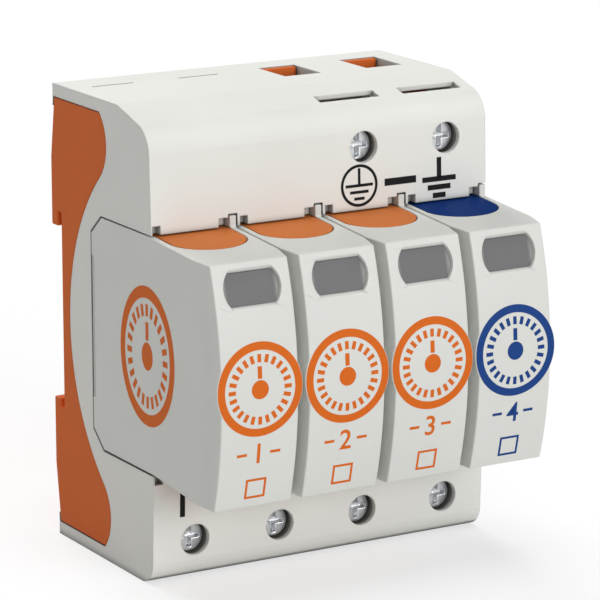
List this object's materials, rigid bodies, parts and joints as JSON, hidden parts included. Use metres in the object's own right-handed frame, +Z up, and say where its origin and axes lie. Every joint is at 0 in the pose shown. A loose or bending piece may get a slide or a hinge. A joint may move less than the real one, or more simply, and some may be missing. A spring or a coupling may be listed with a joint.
{
  "type": "din rail surge arrester",
  "caption": "Plug-in surge arrester for a DIN rail: grey base on an orange rail carrier, with pull-out varistor and spark gap plugs and screw terminals.",
  "frame": {"origin": "middle of the rail seat, the face that lies on the rail", "axes": "+X along the rail, -Y out of the plugs' fronts, +Z up"},
  "size_m": [0.0696, 0.0619, 0.0854],
  "materials": {
    "grey_plastic": "fine moulded grain",
    "plug_plastic": "fine moulded grain",
    "orange_plastic": "satin moulded",
    "blue_plastic": "satin moulded",
    "smoked_lens": "polished",
    "flag_plastic": "satin",
    "varistor_coating": "dipped epoxy",
    "tube_ceramic": "glazed",
    "contact_copper": "stamped",
    "screw_steel": "zinc plated",
    "cage_steel": "zinc plated",
    "spring_steel": "drawn wire"
  },
  "bodies": {
    "base": {"base_housing": "grey_plastic", "rail_carrier": "orange_plastic", "latch_spring_left": "spring_steel", "latch_spring_right": "spring_steel", "neutral_bar": "contact_copper", "earth_bar": "contact_copper", "line_contact_1": "contact_copper", "line_contact_2": "contact_copper", "line_contact_3": "contact_copper"},
    "latch_left": {"rail_latch_left": "orange_plastic"},
    "latch_right": {"rail_latch_right": "orange_plastic"},
    "plug_1": {"plug_shell_1": "plug_plastic", "plug_tray_1": "orange_plastic", "window_lens_1": "smoked_lens", "plug_blades_1": "contact_copper", "varistor_1": "varistor_coating"},
    "flag_1": {"status_flag_1": "flag_plastic"},
    "plug_2": {"plug_shell_2": "plug_plastic", "plug_tray_2": "orange_plastic", "window_lens_2": "smoked_lens", "plug_blades_2": "contact_copper", "varistor_2": "varistor_coating"},
    "flag_2": {"status_flag_2": "flag_plastic"},
    "plug_3": {"plug_shell_3": "plug_plastic", "plug_tray_3": "orange_plastic", "window_lens_3": "smoked_lens", "plug_blades_3": "contact_copper", "varistor_3": "varistor_coating"},
    "flag_3": {"status_flag_3": "flag_plastic"},
    "plug_4": {"plug_shell_4": "plug_plastic", "plug_tray_4": "blue_plastic", "window_lens_4": "smoked_lens", "plug_blades_4": "contact_copper", "spark_gap": "tube_ceramic"},
    "flag_4": {"status_flag_4": "flag_plastic"},
    "screw_1": {"terminal_screw_1": "screw_steel"},
    "cage_1": {"clamp_cage_1": "cage_steel"},
    "screw_2": {"terminal_screw_2": "screw_steel"},
    "cage_2": {"clamp_cage_2": "cage_steel"},
    "screw_3": {"terminal_screw_3": "screw_steel"},
    "cage_3": {"clamp_cage_3": "cage_steel"},
    "screw_4": {"terminal_screw_4": "screw_steel"},
    "cage_4": {"clamp_cage_4": "cage_steel"},
    "screw_5": {"terminal_screw_5": "screw_steel"},
    "cage_5": {"clamp_cage_5": "cage_steel"},
    "screw_6": {"terminal_screw_6": "screw_steel"},
    "cage_6": {"clamp_cage_6": "cage_steel"}
  },
  "joints": [
    {"name": "latch_left_slide", "type": "slide", "parent": "base", "child": "latch_left", "axis": [0, 0, -1], "range_m": [0, 0.0032], "stiffness_N_per_m": 900, "springref_m": -0.002, "deforming": ["latch_spring_left"]},
    {"name": "latch_right_slide", "type": "slide", "parent": "base", "child": "latch_right", "axis": [0, 0, -1], "range_m": [0, 0.0032], "stiffness_N_per_m": 900, "springref_m": -0.002, "deforming": ["latch_spring_right"]},
    {"name": "plug_1_slide", "type": "slide", "parent": "base", "child": "plug_1", "axis": [0, -1, 0], "range_m": [0, 0.036]},
    {"name": "flag_1_slide", "type": "slide", "parent": "plug_1", "child": "flag_1", "axis": [0, 0, -1], "range_m": [0, 0.0065]},
    {"name": "plug_2_slide", "type": "slide", "parent": "base", "child": "plug_2", "axis": [0, -1, 0], "range_m": [0, 0.036]},
    {"name": "flag_2_slide", "type": "slide", "parent": "plug_2", "child": "flag_2", "axis": [0, 0, -1], "range_m": [0, 0.0065]},
    {"name": "plug_3_slide", "type": "slide", "parent": "base", "child": "plug_3", "axis": [0, -1, 0], "range_m": [0, 0.036]},
    {"name": "flag_3_slide", "type": "slide", "parent": "plug_3", "child": "flag_3", "axis": [0, 0, -1], "range_m": [0, 0.0065]},
    {"name": "plug_4_slide", "type": "slide", "parent": "base", "child": "plug_4", "axis": [0, -1, 0], "range_m": [0, 0.036]},
    {"name": "flag_4_slide", "type": "slide", "parent": "plug_4", "child": "flag_4", "axis": [0, 0, -1], "range_m": [0, 0.0065]},
    {"name": "screw_1_turn", "type": "hinge", "parent": "base", "child": "screw_1", "pos_m": [-0.02625, -0.028, -0.0352], "axis": [0, 1, 0], "range_deg": [0, 2160]},
    {"name": "cage_1_draw", "type": "slide", "parent": "base", "child": "cage_1", "axis": [0, -1, 0], "range_m": [0, 0.0048]},
    {"name": "screw_2_turn", "type": "hinge", "parent": "base", "child": "screw_2", "pos_m": [-0.00875, -0.028, -0.0352], "axis": [0, 1, 0], "range_deg": [0, 2160]},
    {"name": "cage_2_draw", "type": "slide", "parent": "base", "child": "cage_2", "axis": [0, -1, 0], "range_m": [0, 0.0048]},
    {"name": "screw_3_turn", "type": "hinge", "parent": "base", "child": "screw_3", "pos_m": [0.00875, -0.028, -0.0352], "axis": [0, 1, 0], "range_deg": [0, 2160]},
    {"name": "cage_3_draw", "type": "slide", "parent": "base", "child": "cage_3", "axis": [0, -1, 0], "range_m": [0, 0.0048]},
    {"name": "screw_4_turn", "type": "hinge", "parent": "base", "child": "screw_4", "pos_m": [0.02625, -0.028, -0.0352], "axis": [0, 1, 0], "range_deg": [0, 2160]},
    {"name": "cage_4_draw", "type": "slide", "parent": "base", "child": "cage_4", "axis": [0, -1, 0], "range_m": [0, 0.0048]},
    {"name": "screw_5_turn", "type": "hinge", "parent": "base", "child": "screw_5", "pos_m": [0.00875, -0.028, 0.0328], "axis": [0, 1, 0], "range_deg": [0, 2160]},
    {"name": "cage_5_draw", "type": "slide", "parent": "base", "child": "cage_5", "axis": [0, -1, 0], "range_m": [0, 0.0048]},
    {"name": "screw_6_turn", "type": "hinge", "parent": "base", "child": "screw_6", "pos_m": [0.02625, -0.028, 0.0328], "axis": [0, 1, 0], "range_deg": [0, 2160]},
    {"name": "cage_6_draw", "type": "slide", "parent": "base", "child": "cage_6", "axis": [0, -1, 0], "range_m": [0, 0.0048]}
  ],
  "couplings": [
    {"joint": "screw_1_turn", "follows": "cage_1_draw", "rad_per_m": 7853.9},
    {"joint": "screw_2_turn", "follows": "cage_2_draw", "rad_per_m": 7853.9},
    {"joint": "screw_3_turn", "follows": "cage_3_draw", "rad_per_m": 7853.9},
    {"joint": "screw_4_turn", "follows": "cage_4_draw", "rad_per_m": 7853.9},
    {"joint": "screw_5_turn", "follows": "cage_5_draw", "rad_per_m": 7853.9},
    {"joint": "screw_6_turn", "follows": "cage_6_draw", "rad_per_m": 7853.9}
  ]
}
